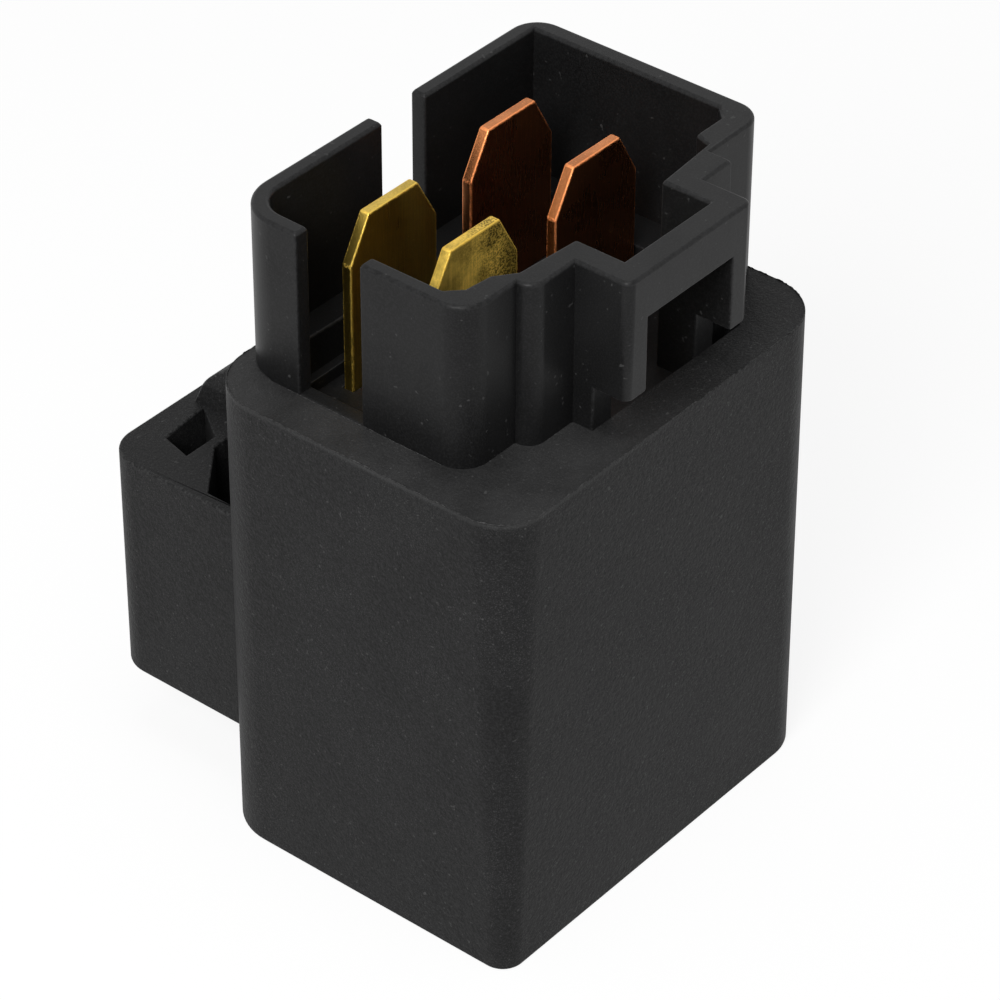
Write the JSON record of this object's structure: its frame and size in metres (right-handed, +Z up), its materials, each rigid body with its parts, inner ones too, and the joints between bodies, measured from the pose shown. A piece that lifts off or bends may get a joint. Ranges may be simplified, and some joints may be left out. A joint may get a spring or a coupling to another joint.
{
  "type": "relay",
  "caption": "Blade-terminal relay in a rubber boot with a rear mounting loop, a latching plug shroud on top, and its coil, armature and contacts inside.",
  "frame": {"origin": "centre of the boot's flat bottom face", "axes": "+X from the brass to the copper blades, +Y from the latch side to the mounting loop, +Z up the blades"},
  "size_m": [0.0251, 0.0281, 0.0361],
  "materials": {
    "boot_rubber": "matt black, finely speckled, with a thin ragged moulding flash",
    "base_plastic": "satin black moulding",
    "case_plastic": "satin black moulding",
    "brass_blade": "bright rolled brass with cut edges",
    "copper_blade": "bright rolled copper alloy with cut edges",
    "bobbin_plastic": "pale moulding",
    "enamelled_wire": "red-brown enamelled copper wire",
    "soft_iron": "turned soft iron",
    "zinc_steel": "zinc-plated sheet steel",
    "spring_bronze": "rolled bronze strip",
    "rivet_steel": "plated steel",
    "contact_silver": "silver alloy",
    "spring_wire": "drawn spring wire",
    "copper_braid": "braided copper",
    "resistor_ceramic": "lacquered ceramic",
    "tinned_wire": "tinned wire"
  },
  "bodies": {
    "relay_body": {"rubber_boot": "boot_rubber", "connector_base": "base_plastic", "inner_case": "case_plastic", "coil_blade_rear": "brass_blade", "coil_blade_front": "brass_blade", "contact_blade_rear": "copper_blade", "contact_blade_front": "copper_blade", "bobbin": "bobbin_plastic", "coil_winding": "enamelled_wire", "iron_core": "soft_iron", "yoke": "zinc_steel", "fixed_contact": "contact_silver", "back_stop": "zinc_steel", "return_spring": "spring_wire", "shunt_braid": "copper_braid", "resistor_body": "resistor_ceramic", "resistor_lead_front": "tinned_wire", "resistor_lead_rear": "tinned_wire", "coil_lead_front": "enamelled_wire", "coil_lead_rear": "enamelled_wire"},
    "armature_set": {"armature": "zinc_steel", "contact_leaf": "spring_bronze", "leaf_rivet_front": "rivet_steel", "leaf_rivet_rear": "rivet_steel", "moving_contact": "contact_silver"}
  },
  "joints": [
    {"name": "armature_hinge", "type": "hinge", "parent": "relay_body", "child": "armature_set", "pos_m": [-0.0065, 0, 0.00632], "axis": [0, -1, 0], "range_deg": [0, 4], "stiffness_Nm_per_rad": 0.005, "springref_deg": -17.19, "deforming": ["return_spring", "shunt_braid"]}
  ]
}
